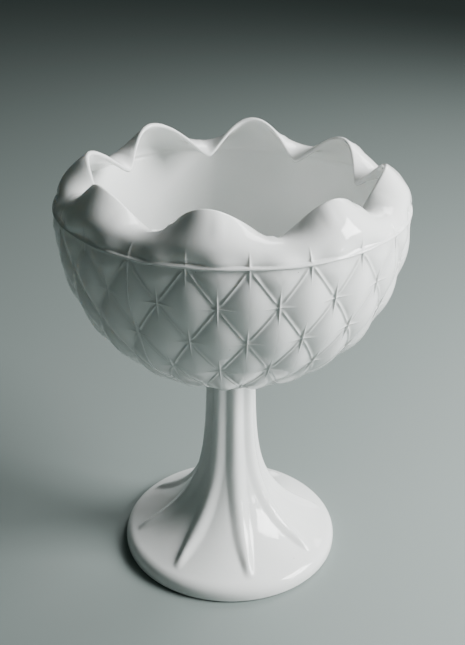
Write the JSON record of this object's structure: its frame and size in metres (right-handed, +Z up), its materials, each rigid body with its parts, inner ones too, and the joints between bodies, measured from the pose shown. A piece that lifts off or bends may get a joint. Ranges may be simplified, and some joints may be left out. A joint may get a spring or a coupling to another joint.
{
  "type": "footed compote",
  "caption": "Pressed milk-glass compote: quilted bowl with a scalloped rim on a fluted pedestal that flares into a round foot.",
  "frame": {"origin": "centre of the foot on the surface that it stands on", "axes": "+Z up along the axis of the pedestal and bowl; the four mould seams stand at -121 degrees and every quarter turn from it, counted from +X towards +Y"},
  "size_m": [0.165, 0.165, 0.2127],
  "materials": {
    "milk_glass": "gloss"
  },
  "bodies": {
    "root": {"bowl": "milk_glass", "joining_wafer": "milk_glass", "pedestal": "milk_glass"}
  },
  "joints": []
}
